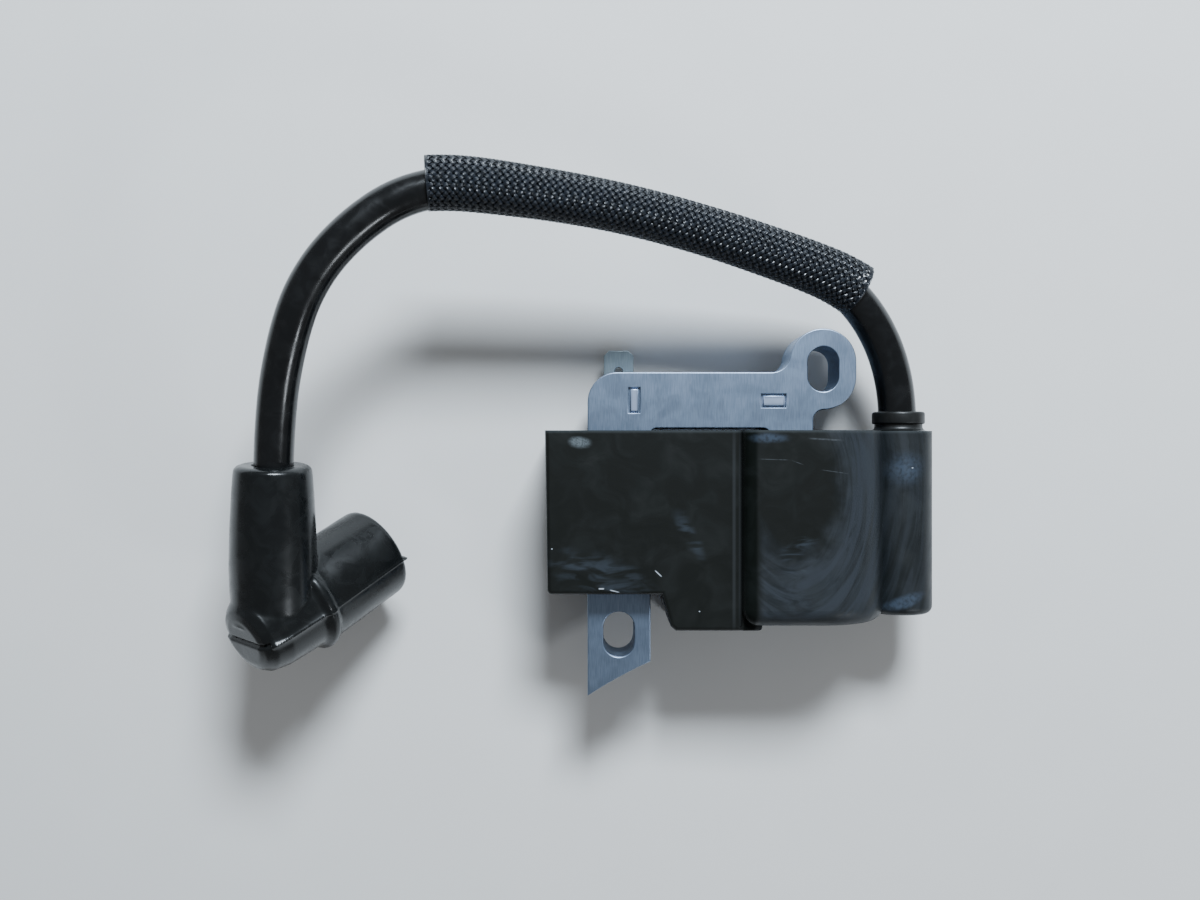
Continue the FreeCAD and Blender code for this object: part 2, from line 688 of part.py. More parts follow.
def socket_bore():
    """The plug's socket: a spring chamber, the grip bore and a wider mouth."""
    length = SOCKET_LENGTH
    profile = [
        (0, SPRING_CHAMBER_T),
        (SPRING_CHAMBER_R, SPRING_CHAMBER_T),
        (SPRING_CHAMBER_R, PLUG_BORE_T),
        (PLUG_BORE_R, PLUG_BORE_T),
        (PLUG_BORE_R, length - PLUG_MOUTH_DEPTH),
        (PLUG_MOUTH_R, length - PLUG_MOUTH_DEPTH + 0.8),
        (PLUG_MOUTH_R, length + 1),
        (0, length + 1),
    ]
    return lathe(profile, ELBOW, SOCKET_DIR)


def spark_plug_boot():
    """The rubber elbow: a barrel on the lead, a domed back and the plug's socket with its collar."""
    barrel_profile = [
        (0, 0),
        (BARREL_R, 0),
        (BARREL_R, BARREL_LENGTH * 0.55),
        (BARREL_R - 0.25, BARREL_LENGTH * 0.8),
        (BARREL_RIM_R, BARREL_LENGTH - RIM_ROUND),
        (BARREL_RIM_R - RIM_ROUND, BARREL_LENGTH),
        (0, BARREL_LENGTH),
    ]
    low, high = SOCKET_COLLAR_T
    socket_profile = [
        (0, -1.0),
        (DOME_R, -1.0),
        (DOME_R + 0.6, low),
        (SOCKET_COLLAR_R, low + 0.2),
        (SOCKET_COLLAR_R, high - 0.3),
        (SOCKET_BASE_R, high),
        (SOCKET_MOUTH_R, SOCKET_LENGTH - 0.5),
        (SOCKET_MOUTH_R - 0.5, SOCKET_LENGTH),
        (0, SOCKET_LENGTH),
    ]
    shell = fuse(
        [
            lathe(barrel_profile, ELBOW, BARREL_DIR),
            lathe(socket_profile, ELBOW, SOCKET_DIR),
            Part.makeSphere(DOME_R, ELBOW),
        ]
    )
    return shell.cut(barrel_bore() + [socket_bore()])


def contact_spring():
    """The coil that grips the plug's terminal, in the socket's chamber."""
    height = SPRING_PITCH * SPRING_TURNS
    helix = Part.makeHelix(SPRING_PITCH, height, SPRING_MEAN_R)
    circle = Part.Wire(Part.makeCircle(SPRING_WIRE_R, V(SPRING_MEAN_R, 0, 0), V(0, 1, 0)))
    coil = Part.Wire(helix).makePipeShell([circle], True, True)
    turn = FreeCAD.Rotation(V(0, 0, 1), SOCKET_DIR)
    coil.Placement = FreeCAD.Placement(boot_point(SOCKET_DIR, SPRING_START_T), turn)
    return coil


def lead_prong():
    """The pin that stands in the lead's end and carries the spark to the spring."""
    pin = rod(boot_point(BARREL_DIR, PRONG_S[0]), boot_point(BARREL_DIR, PRONG_S[1]), PRONG_R)
    head = rod(
        boot_point(BARREL_DIR, PRONG_HEAD_S[0]), boot_point(BARREL_DIR, PRONG_HEAD_S[1]), PRONG_HEAD_R
    )
    return fuse([pin, head])


def module_parts():
    """Every solid part of the module, apart from the case, the resin, the collar and the lead."""
    flanges = secondary_flanges()
    charge = CHARGE_FLANGES_Y
    return {
        "core_laminations": core_laminations(),
        "charge_coil_bobbin": bobbin(CHARGE_CENTRE, CHARGE_INNER, CHARGE_TUBE, CHARGE_WOUND, charge),
        "charge_coil_winding": winding(CHARGE_CENTRE, CHARGE_TUBE, CHARGE_WOUND, charge[0], charge[1]),
        "trigger_coil_winding": winding(CHARGE_CENTRE, CHARGE_TUBE, CHARGE_WOUND, charge[1], charge[2]),
        "primary_bobbin": bobbin(
            SECOND_CENTRE,
            PRIMARY_INNER,
            PRIMARY_TUBE,
            PRIMARY_WOUND,
            (PRIMARY_Y[0], PRIMARY_Y[1] - FLANGE_THICKNESS),
        ),
        "primary_winding": winding(
            SECOND_CENTRE, PRIMARY_TUBE, PRIMARY_WOUND, PRIMARY_Y[0], PRIMARY_Y[1] - FLANGE_THICKNESS
        ),
        "secondary_bobbin": bobbin(
            SECOND_CENTRE, SECONDARY_INNER, SECONDARY_TUBE, SECONDARY_WOUND, flanges
        ),
        "secondary_winding": Part.makeCompound(
            [
                winding(SECOND_CENTRE, SECONDARY_TUBE, SECONDARY_WOUND, low, high)
                for low, high in zip(flanges, flanges[1:])
            ]
        ),
        "circuit_board": circuit_board(),
        "ignition_capacitor": ignition_capacitor(),
        "thyristor": thyristor(),
        "rectifier_diodes": rectifier_diodes(),
        "resistors": resistors(),
        "ground_strap": ground_strap(),
        "kill_wire": kill_wire(),
        "kill_switch_tab": kill_switch_tab(),
        "ht_terminal": ht_terminal(),
        "ht_link": ht_link(),
    }


def coil_cores():
    """The blocks that the coils close off, where no resin gets in."""
    charge_y = (CHARGE_FLANGES_Y[0], CHARGE_FLANGES_Y[-1] + FLANGE_THICKNESS)
    spans = ((CHARGE_CENTRE, CHARGE_TUBE, charge_y), (SECOND_CENTRE, SECONDARY_TUBE, PRIMARY_Y))
    blocks = []
    for (x, z), (width, height), y in spans:
        blocks.append(box((x - width / 2, x + width / 2), y, (z - height / 2, z + height / 2)))
    return blocks


def potting_resin(buried):
    """The resin that fills the case to just below its rim, round everything that is buried in it."""
    below_rim = box((-50, 50), (-50, RESIN_TOP_Y), (-5, 40))
    return cavity().common(below_rim).cut(buried + coil_cores())


def lead_parts(edges, lead):
    """The spark lead's insulation and conductor, and the braid round it."""
    length = sum(edge.Length for edge in edges)
    prong_reach = PRONG_S[1] - LEAD_END_S
    core_edges = trimmed(edges, LEAD_CORE_SETBACK, length - prong_reach - 0.1)
    braid_edges = trimmed(edges, *BRAID_SPAN)
    return {
        "lead_jacket": lead.cut(pipe(edges, LEAD_CORE_R)),
        "lead_conductor": pipe(core_edges, LEAD_CORE_R),
        "braided_sleeve": pipe(braid_edges, BRAID_R[1]).cut(pipe(braid_edges, BRAID_R[0])),
    }


def main():
    os.makedirs("parts", exist_ok=True)
    edges, radii = route_edges(LEAD_ROUTE)
    length = sum(edge.Length for edge in edges)
    lead = pipe(edges, LEAD_R)
    print("lead length %.1f mm, bend radii %s" % (length, [round(r, 1) for r in radii]))
    print("lead volume over section times length: %.4f" % (lead.Volume / (math.pi * LEAD_R**2 * length)))
    parts = module_parts()
    parts["lead_collar"] = lead_collar(lead)
    parts["potting_resin"] = potting_resin(list(parts.values()) + [lead])
    parts["case_shell"] = case_shell()
    parts.update(lead_parts(edges, lead))
    parts["spark_plug_boot"] = spark_plug_boot()
    parts["contact_spring"] = contact_spring()
    parts["lead_prong"] = lead_prong()
    for name, shape in parts.items():
        facts = (name, len(shape.Solids), shape.Volume, shape.isValid())
        print("%-22s solids %d  volume %.2f  valid %s" % facts)
        shape.exportStep("parts/%s.step" % name)


main()
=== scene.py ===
import json
import math

import bmesh
import bpy
import numpy as np
from mathutils import Matrix, Vector


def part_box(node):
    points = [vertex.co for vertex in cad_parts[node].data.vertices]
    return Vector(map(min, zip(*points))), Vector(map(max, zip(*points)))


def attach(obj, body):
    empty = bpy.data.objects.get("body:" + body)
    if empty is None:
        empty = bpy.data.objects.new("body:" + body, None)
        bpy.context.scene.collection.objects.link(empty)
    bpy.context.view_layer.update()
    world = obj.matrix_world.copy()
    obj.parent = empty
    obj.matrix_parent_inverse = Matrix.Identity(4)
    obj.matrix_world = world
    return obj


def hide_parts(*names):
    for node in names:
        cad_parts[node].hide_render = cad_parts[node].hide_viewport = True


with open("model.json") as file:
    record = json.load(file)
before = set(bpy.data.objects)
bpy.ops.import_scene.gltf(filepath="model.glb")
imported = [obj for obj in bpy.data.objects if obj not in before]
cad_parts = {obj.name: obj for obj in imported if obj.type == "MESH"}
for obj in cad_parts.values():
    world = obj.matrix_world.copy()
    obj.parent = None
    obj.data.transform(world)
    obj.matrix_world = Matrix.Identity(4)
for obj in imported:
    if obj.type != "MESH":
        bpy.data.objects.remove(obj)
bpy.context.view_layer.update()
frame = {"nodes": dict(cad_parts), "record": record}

# Ignition coil with a sleeved spark lead and an elbow plug boot, in metres, in the pack's frame.

CAMERA_PLACE = (-0.02635, 0.0115, 0.244)
CAMERA_LENS = 36.66

# Spark lead: the route repeats the CAD route's points
LEAD_ROUTE = [
    (0.03015, 0.00550, 0.01250),
    (0.03015, 0.01500, 0.01250),
    (0.02940, 0.02460, 0.01300),
    (0.02640, 0.03300, 0.01410),
    (0.02120, 0.04000, 0.01590),
    (0.01380, 0.04510, 0.01800),
    (-0.00160, 0.04990, 0.02190),
    (-0.01980, 0.05420, 0.02590),
    (-0.03800, 0.05720, 0.02850),
    (-0.05190, 0.05810, 0.02960),
    (-0.06140, 0.05590, 0.03060),
    (-0.06960, 0.04990, 0.03170),
    (-0.07600, 0.04240, 0.03240),
    (-0.08010, 0.03320, 0.03230),
    (-0.08430, 0.01667, 0.02770),
    (-0.08483, -0.00067, 0.02542),
]
LEAD_RADIUS = 0.0035
CONDUCTOR_RADIUS = 0.00095

# Braided sleeve: strands in both directions, each over one and under the next
SLEEVE_SPAN = (0.0376, 0.1187)
SLEEVE_STRANDS = 20
SLEEVE_LAY = 0.026
# Its offset from the lead's line and its half width, at places along the lead
SLEEVE_PLACES = (
    0.033, 0.038, 0.043, 0.048, 0.055, 0.070, 0.085, 0.098, 0.106, 0.112, 0.119, 0.124
)
SLEEVE_OFFSETS = tuple(0.0001 * n for n in (26, 14, 5, 0, -2, -1, 0, -1, 0, 4, 11, 20))
SLEEVE_HALF_WIDTHS = tuple(
    0.0001 * n for n in (49, 48, 46, 45, 44, 42, 42, 43, 45, 46, 46, 47)
)
SLEEVE_HALF_HEIGHT = 0.0044
SLEEVE_SMOOTHING = 0.004
RIM_RADIUS = 0.00026
STRAND_HALF_WIDTH = 0.00036
STRAND_HALF_THICKNESS = 0.00013
STRAND_LIFT = 0.00019
STRAND_STEPS_PER_CROSSING = 3
STRAND_SIDES = 8

# Elbow boot: turned about the barrel's and the socket's axes, with the mould's seam along the socket
ELBOW = Vector((-0.0854, -0.0195, 0.02295))
BARREL_DIR = Vector((0.03, 0.99, 0.13)).normalized()
SOCKET_DIR = Vector((0.616, 0.456, -0.643)).normalized()
SEAM_NORMAL = SOCKET_DIR.cross(Vector((0.755, -0.107, 0.647))).normalized()
SEAM_SIDE = SEAM_NORMAL.cross(SOCKET_DIR)
BARREL_OUTLINE = [
    (0.0, 0.0),
    (0.0, 0.0078),
    (0.0060, 0.00785),
    (0.0120, 0.0077),
    (0.0180, 0.0075),
    (0.0235, 0.0072),
    (0.0268, 0.00695),
    (0.0279, 0.0068),
    (0.0284, 0.0063),
    (0.0286, 0.0056),
    (0.0286, 0.0),
]
SOCKET_OUTLINE = [
    (-0.0069, 0.0),
    (-0.0069, 0.0045),
    (-0.0064, 0.0060),
    (-0.0050, 0.0073),
    (-0.0020, 0.0081),
    (0.0050, 0.0086),
    (0.0054, 0.0089),
    (0.0060, 0.0098),
    (0.0068, 0.0099),
    (0.0074, 0.0097),
    (0.0080, 0.0092),
    (0.0090, 0.0091),
    (0.0240, 0.0090),
    (0.0247, 0.0088),
    (0.0250, 0.0084),
    (0.0250, 0.0),
]
LEAD_BORE = [
    (0.0188, 0.0),
    (0.0188, 0.00355),
    (0.0282, 0.00355),
    (0.0287, 0.0038),
    (0.0300, 0.0038),
    (0.0300, 0.0),
]
PRONG_BORE = [
    (0.0020, 0.0),
    (0.0020, 0.00095),
    (0.0175, 0.00095),
    (0.0175, 0.0022),
    (0.0190, 0.0022),
    (0.0190, 0.0),
]
PLUG_BORE = [
    (0.0008, 0.0),
    (0.0008, 0.0046),
    (0.0110, 0.0046),
    (0.0110, 0.00525),
    (0.0225, 0.00525),
    (0.0233, 0.0064),
    (0.0246, 0.0064),
    (0.0251, 0.0068),
    (0.0260, 0.0068),
    (0.0260, 0.0),
]
BOOT_VOXEL = 0.00022
SEAM_HEIGHT = 0.00020
SEAM_HALF_WIDTH = 0.00022
SEAM_START = -0.0055
BARREL_CLEAR_RADIUS = 0.0080
BARREL_CLEAR_FADE = 0.0008
BASE_END = 0.006
BASE_RIDGE_HEIGHT = 0.00042
BASE_RIDGE_HALF_WIDTH = 0.00075
BASE_RIDGE_END = 0.0058
BASE_RIDGE_FADE = 0.0006
NIB_HEIGHT = 0.0007
NIB_PLACE = 0.0247
NIB_HALF_LENGTH = 0.0004
SLIT_DEPTH = 0.0006
SLIT_HALF_WIDTH = 0.00028
SLIT_END = -0.0050
SLIT_FADE = 0.0012
STEP_DEPTH = 0.00035
STEP_HALF_WIDTH = 0.0002
STEP_END = -0.0020
STEP_FADE = 0.0025

# Collar where the lead leaves the tower
COLLAR_RADIUS = 0.0049
COLLAR_NECK_RADIUS = 0.00445
COLLAR_BORE_RADIUS = 0.0034
COLLAR_RING_HEIGHT = 0.0023
COLLAR_NECK_FOOT = 0.0152
COLLAR_FOOT_ROUND = 0.0007
COLLAR_BACK_ROUND = 0.0003
COLLAR_FACE_ROUND = 0.00045
COLLAR_BORE_CHAMFER = 0.0002
COLLAR_NECK_INSET = 0.00005

# Marks on the case's front, each a start, an end and a half width: scratches, then painted highlights
# down the bulge's foot, then nicks painted bright as glints
CASE_LINES = [
    ((0.0016, 0.0099), (0.0080, 0.0097), 0.00010),
    ((0.0078, 0.0097), (0.0102, 0.0088), 0.00010),
    ((0.0129, 0.0080), (0.0185, 0.0072), 0.00009),
    ((0.0105, 0.0136), (0.0176, 0.0132), 0.00022),
]
# Painted highlights: two bright lines down the foot of the bulge
CASE_FOOT_HIGHLIGHTS = [
    ((-0.0021, 0.0200), (-0.0021, -0.0260), 0.00045),
    ((-0.0010, 0.0200), (-0.0010, -0.0260), 0.00040),
]
# Nicks at the case's edges, painted bright as glints
CASE_NICKS_AND_GLINTS = [
    ((-0.0165, -0.0102), (-0.0151, -0.0115), 0.00014),
    ((-0.0267, -0.0136), (-0.0255, -0.0136), 0.00018),
    ((-0.0247, -0.0138), (-0.0227, -0.0143), 0.00014),
    ((-0.0352, -0.0064), (-0.0349, -0.0064), 0.00014),
    ((-0.0085, -0.0177), (-0.0082, -0.0177), 0.00014),
    ((0.0311, 0.0082), (0.0315, 0.0082), 0.00012),
]

# The haze and painted reflection on the case's bulge are thinner in an ellipse over its middle
HEART_CENTRE = (0.0085, 0.0045)
HEART_SIZE = (0.0085, 0.0135)

# Steel sheets
SHEET_COUNT = 22
SHEET_GAP = 0.00003
SHEET_EDGE = 0.00006
TOP_SHEET_EDGE = 0.00018
TAB_EDGE = 0.00012
SLOT_MIN_POINTS = 24
SLOT_MIN_WIDTH = 0.0055
# Pressed pads on the front sheet, painted with a bright highlight: start, end and half width
CLINCH_PAD_HIGHLIGHTS = [
    ((-0.0200, 0.0178), (-0.0200, 0.0236), 0.00085),
    ((0.0028, 0.0206), (0.0088, 0.0206), 0.00105),
]

# Plain slots: two tones, roughness and, where they differ, the scale, the metallic share and the grain
MOULDED = {
    "conductor_copper": ((0.60, 0.26, 0.12), (0.78, 0.40, 0.22), 0.30, 2500.0, 1.0),
    "bobbin_plastic": ((0.62, 0.58, 0.48), (0.72, 0.68, 0.58), 0.5),
    "component_body": ((0.018, 0.018, 0.020), (0.035, 0.035, 0.038), 0.4),
    "capacitor_body": ((0.34, 0.07, 0.03), (0.46, 0.12, 0.06), 0.28),
    "resistor_body": ((0.52, 0.38, 0.22), (0.66, 0.52, 0.34), 0.3),
    "terminal_brass": ((0.62, 0.42, 0.16), (0.78, 0.58, 0.26), 0.28, 900.0, 1.0, (1.0, 0.15, 1.0)),
    "spring_steel": ((0.42, 0.43, 0.44), (0.66, 0.66, 0.66), 0.24, 3000.0, 1.0),
    "wire_insulation": ((0.03, 0.03, 0.035), (0.06, 0.06, 0.065), 0.35),
}

# Rubber slots: colour, roughness and share of dust
RUBBERS = {
    "potting": ((0.006, 0.007, 0.008), 0.34, 0.02),
    "boot_rubber": ((0.0042, 0.0052, 0.0056), 0.26, 0.02),
    "collar_rubber": ((0.0050, 0.0055, 0.0055), 0.42, 0.0),
    "lead_insulation": ((0.0040, 0.0045, 0.0050), 0.22, 0.0),
}

# Steel slots: light tone, dark tone, the grain's turn and the pads with a painted highlight
STEELS = {
    "core_steel": ((0.27, 0.345, 0.465), (0.215, 0.28, 0.385), 0.0, CLINCH_PAD_HIGHLIGHTS),
    "tab_metal": ((0.27, 0.33, 0.36), (0.22, 0.27, 0.30), 0.1),
}

# ---------------------------------------------------------------- helpers


def link(obj):
    bpy.context.scene.collection.objects.link(obj)
    return obj


def smooth(obj):
    obj.data.polygons.foreach_set("use_smooth", [True] * len(obj.data.polygons))
    return obj


def mesh_object(name, verts, faces, body):
    """A smooth mesh piece on a body; every vertex is in the row frame."""
    data = bpy.data.meshes.new(name)
    data.from_pydata([tuple(v) for v in verts], [], faces)
    data.update()
    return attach(smooth(link(bpy.data.objects.new(name, data))), body)


def evaluated_mesh(obj):
    """The mesh that an object's curve or modifiers make."""
    graph = bpy.context.evaluated_depsgraph_get()
    return bpy.data.meshes.new_from_object(obj.evaluated_get(graph), depsgraph=graph)


def remove(obj):
    bpy.data.objects.remove(obj)


# ---------------------------------------------------------------- camera and cord


def make_camera():
    data = bpy.data.cameras.new("camera")
    data.lens = CAMERA_LENS
    data.sensor_width = 36.0
    data.clip_start = 0.01
    camera = link(bpy.data.objects.new("camera", data))
    camera.location = CAMERA_PLACE
    bpy.context.scene.camera = camera


def route_curve(name, radius):
    """The lead's route as one quadratic NURBS spline, whose points hold its section's radius."""
    data = bpy.data.curves.new(name, "CURVE")
    data.dimensions = "3D"
    data.resolution_u = 16
    data.bevel_depth = 1.0 if radius else 0.0
    data.bevel_resolution = 10
    data.use_fill_caps = True
    spline = data.splines.new("NURBS")
    spline.points.add(len(LEAD_ROUTE) - 1)
    for point, place in zip(spline.points, LEAD_ROUTE):
        point.co = (*place, 1.0)
        point.radius = radius
    spline.order_u = 3
    spline.use_endpoint_u = True
    return link(bpy.data.objects.new(name, data))


class Rail:
    """The route's line, read from its spline: places and cross directions along it."""

    def __init__(self):
        bare = route_curve("bare_route", 0.0)
        bpy.context.view_layer.update()
        mesh = evaluated_mesh(bare)
        self.points = np.array([v.co for v in mesh.vertices])
        remove(bare)
        steps = np.linalg.norm(np.diff(self.points, axis=0), axis=1)
        self.lengths = np.concatenate([[0.0], np.cumsum(steps)])

    def place(self, s):
        return np.stack([np.interp(s, self.lengths, self.points[:, i]) for i in range(3)], axis=-1)

    def frames(self, s, reach=0.0015):
        """Centres, and the level and upright directions across the line, at distances s."""
        along = self.place(s + reach) - self.place(s - reach)
        along /= np.linalg.norm(along, axis=-1, keepdims=True)
        side = np.cross(along, (0.0, 0.0, 1.0))
        side /= np.linalg.norm(side, axis=-1, keepdims=True)
        return self.place(s), side, np.cross(side, along)


# ---------------------------------------------------------------- materials


class Graph:
    """A material's nodes. Plain values are set on a socket, and other sockets are linked to it."""

    def __init__(self, name):
        self.material = bpy.data.materials.new(name)
        self.material.use_nodes = True
        self.tree = self.material.node_tree
        self.tree.nodes.clear()
        self.place = self.add("TexCoord").outputs["Object"]

    def put(self, socket, value):
        if isinstance(value, bpy.types.NodeSocket):
            self.tree.links.new(value, socket)
        else:
            socket.default_value = value

    def add(self, kind, settings=None, **values):
        node = self.tree.nodes.new("ShaderNode" + kind)
        for key, value in (settings or {}).items():
            setattr(node, key, value)
        for key, value in values.items():
            self.put(node.inputs[key.replace("_", " ")], value)
        return node

    def math(self, operation, a, b=0.0):
        node = self.add("Math", {"operation": operation})
        self.put(node.inputs[0], a)
        self.put(node.inputs[1], b)
        return node.outputs[0]

    def stretched(self, factors, turn=(0.0, 0.0, 0.0), place=None):
        """The piece's coordinates turned, then scaled along each axis."""
        node = self.add("Mapping", Vector=place or self.place, Rotation=turn, Scale=factors)
        return node.outputs["Vector"]

    def noise(self, scale, detail=4.0, distortion=0.0, place=None, roughness=0.5):
        node = self.add(
            "TexNoise",
            Vector=place or self.place,
            Scale=scale,
            Detail=detail,
            Roughness=roughness,
            Distortion=distortion,
        )
        return node.outputs["Fac"]

    def between(self, value, low, high, out_low=0.0, out_high=1.0):
        """value's range from low to high, smoothly mapped to another range."""
        node = self.add(
            "MapRange",
            {"interpolation_type": "SMOOTHSTEP"},
            Value=value,
            From_Min=low,
            From_Max=high,
            To_Min=out_low,
            To_Max=out_high,
        )
        return node.outputs["Result"]

    def mix(self, factor, first, second):
        node = self.add("Mix", {"data_type": "RGBA"})
        sockets = (node.inputs[0], node.inputs[6], node.inputs[7])
        for socket, value in zip(sockets, (factor, first, second)):
            plain = isinstance(value, (float, bpy.types.NodeSocket))
            self.put(socket, value if plain else (*value, 1.0))
        return node.outputs[2]

    def bump(self, height, strength, distance, under=None):
        node = self.add("Bump", Height=height, Strength=strength, Distance=distance)
        if under:
            self.put(node.inputs["Normal"], under)
        return node.outputs["Normal"]

    def axis(self, index):
        return self.add("SeparateXYZ", Vector=self.place).outputs[index]

    def about(self, centre, size, turn=0.0, warp=0.0):
        """Coordinates seen along Z about a centre, turned, in units of a size; warp bends them."""
        place = self.place
        if warp:
            wobble = self.add("TexNoise", Vector=place, Scale=260.0, Detail=3.0).outputs["Color"]
            shift = self.add("VectorMath", {"operation": "MULTIPLY_ADD"})
            for socket, value in zip(shift.inputs, (wobble, (warp, warp, warp), place)):
                self.put(socket, value)
            place = shift.outputs[0]
        moved = self.add("VectorMath", {"operation": "SUBTRACT"})
        self.put(moved.inputs[0], place)
        self.put(moved.inputs[1], (centre[0] + warp / 2, centre[1] + warp / 2, 0.0))
        turned_back = self.add("Mapping", Vector=moved.outputs[0], Rotation=(0.0, 0.0, -turn))
        return self.stretched((1 / size[0], 1 / size[1], 0.0), place=turned_back.outputs[0])

    def patch(self, centre, size, edge=0.35, warp=0.0, turn=0.0):
        """1 inside an ellipse seen along Z, falling softly to 0 at its edge."""
        scaled = self.about(centre, size, turn, warp)
        far = self.add("VectorMath", {"operation": "LENGTH"}, Vector=scaled).outputs["Value"]
        return self.between(far, 1.0 - edge, 1.0 + edge, 1.0, 0.0)

    def streak(self, start, end, width):
        """A thin straight mark from start to end, seen along Z, soft at its sides and ends."""
        (x0, y0), (x1, y1) = start, end
        centre = ((x0 + x1) / 2, (y0 + y1) / 2)
        half = math.hypot(x1 - x0, y1 - y0) / 2
        scaled = self.about(centre, (half, width), math.atan2(y1 - y0, x1 - x0))
        sizes = self.add("VectorMath", {"operation": "ABSOLUTE"}, Vector=scaled).outputs[0]
        parts = self.add("SeparateXYZ", Vector=sizes).outputs
        ends = self.between(parts[0], 0.5, 1.0, 1.0, 0.0)
        return self.math("MULTIPLY", ends, self.between(parts[1], 0.2, 1.0, 1.0, 0.0))

    def rings(self, centre, size):
        """Noise in bands that follow an ellipse about a centre, seen along Z."""
        scaled = self.about(centre, size)
        far = self.add("VectorMath", {"operation": "LENGTH"}, Vector=scaled).outputs["Value"]
        parts = self.add("SeparateXYZ", Vector=scaled).outputs
        joined_up = self.add("CombineXYZ", X=self.math("MULTIPLY", far, 7.0), Y=parts[0], Z=parts[1])
        return self.noise(0.9, 5.0, 0.9, joined_up.outputs[0], 0.6)

    def all_of(self, masks):
        total = masks[0]
        for mask in masks[1:]:
            total = self.math("MAXIMUM", total, mask)
        return total

    def finish(self, **values):
        shader = self.add("BsdfPrincipled", **values)
        output = self.add("OutputMaterial")
        self.tree.links.new(shader.outputs[0], output.inputs[0])
        return self.material


def case_material():
    """Satin black moulding with handling marks, scuffs, a few scratches and nicks. Painted light on
    it: a painted reflection in the haze on the bulge, painted highlights on the rim, down the bulge's
    foot, on a few patches and on the nicks, and painted shade in the valley at the bulge's foot.
    """
    g = Graph("case_plastic")
    grain = g.noise(9000.0, 3.0)
    blotch = g.noise(170.0, 5.0, 1.2)
    fine = g.noise(1500.0, 4.0)
    bands = g.rings(HEART_CENTRE, HEART_SIZE)
    wiped = g.noise(1.0, 5.0, 1.2, g.stretched((120.0, 480.0, 120.0), (0.0, 0.0, 0.30)))
    on_bulge = g.between(g.axis(0), 0.0016, 0.0034)
    heart = g.patch(HEART_CENTRE, HEART_SIZE, 0.30, 0.005)
    # Haze over the bulge, partly real haze and partly a painted reflection: the bulge is drawn lighter
    # except in an ellipse over its middle
    haze_and_reflection = g.math("MULTIPLY", on_bulge, g.math("SUBTRACT", 1.0, heart))
    haze_and_reflection = g.math("MULTIPLY", haze_and_reflection, g.between(bands, 0.34, 0.66, 0.40, 1.0))
    haze_and_reflection = g.math("MULTIPLY", haze_and_reflection, g.between(g.axis(0), 0.0235, 0.0255, 1.0, 0.55))
    wisps = [
        g.patch((-0.0265, -0.0112), (0.0085, 0.0030), 0.6, 0.004, -0.28),
        g.patch((-0.0101, -0.0042), (0.0012, 0.0038), 0.7, 0.002, 0.5),
        g.patch((0.0090, -0.0062), (0.0030, 0.0012), 0.6, 0.003, 0.45),
        g.patch((0.0094, -0.0098), (0.0030, 0.0010), 0.6, 0.003, 0.35),
    ]
    smudge = g.math("MULTIPLY", g.all_of(wisps), g.between(wiped, 0.42, 0.66))
    # Painted highlights: small bright bluish patches where the light catches the bulge's top edge and
    # the tower
    highlight_patches = [
        g.patch((0.0040, 0.0136), (0.0026, 0.0007), 0.7, 0.001),
        g.patch((0.0301, 0.0080), (0.0026, 0.0022), 0.8, 0.002),
        g.patch((0.0296, -0.0166), (0.0036, 0.0010), 0.5, 0.001, 0.35),
    ]
    painted_highlight_patch = g.math("MULTIPLY", g.all_of(highlight_patches), g.between(fine, 0.3, 0.6, 0.4, 1.0))
    scuff = g.patch((-0.0300, 0.0129), (0.0017, 0.0009), 0.5, 0.001)
    scuff = g.math("MULTIPLY", scuff, g.between(g.noise(4200.0, 4.0), 0.25, 0.65, 0.25, 0.8))
    # Painted highlight: two bright lines down the foot of the bulge
    painted_foot_highlight = g.all_of([g.streak(start, end, width) for start, end, width in CASE_FOOT_HIGHLIGHTS])
    # Painted shade: the valley at the bulge's foot is given less gloss, so it reflects less and looks
    # shaded
    shaded_valley_start = g.between(g.axis(0), -0.0007, 0.0)
    shaded_valley_end = g.between(g.axis(0), 0.0012, 0.0024, 1.0, 0.0)
    shaded_valley = g.math("MULTIPLY", shaded_valley_start, shaded_valley_end)
    lines = [g.streak(start, end, width) for start, end, width in CASE_LINES]
    line = g.math("MULTIPLY", g.all_of(lines), g.between(fine, 0.30, 0.60, 0.25, 0.9))
    # Nicks at the edges, painted bright as glints of light
    nicks_and_glints = [g.streak(start, end, width) for start, end, width in CASE_NICKS_AND_GLINTS]
    # Painted highlight: a thin light line along the open rim's edge
    uneven = g.math("ADD", g.axis(1), g.math("MULTIPLY", fine, 0.0002))
    painted_rim_highlight = g.math("MULTIPLY", g.between(uneven, 0.0145, 0.0151), 0.7)
    colour = g.mix(g.between(blotch, 0.35, 0.7), (0.0038, 0.0050, 0.0042), (0.0062, 0.0078, 0.0072))
    colour = g.mix(haze_and_reflection, colour, (0.0165, 0.0220, 0.0290))
    colour = g.mix(painted_foot_highlight, colour, (0.0190, 0.0215, 0.0225))
    colour = g.mix(smudge, colour, (0.024, 0.031, 0.039))
    colour = g.mix(line, colour, (0.050, 0.056, 0.062))
    colour = g.mix(painted_highlight_patch, colour, (0.034, 0.048, 0.070))
    colour = g.mix(painted_rim_highlight, colour, (0.044, 0.052, 0.056))
    colour = g.mix(scuff, colour, (0.14, 0.165, 0.18))
    colour = g.mix(g.all_of(nicks_and_glints), colour, (0.46, 0.50, 0.55))
    rough = g.between(g.math("ADD", haze_and_reflection, blotch), 0.4, 1.4, 0.36, 0.56)
    normal = g.bump(blotch, 0.15, 0.0003, g.bump(grain, 0.12, 0.00005))
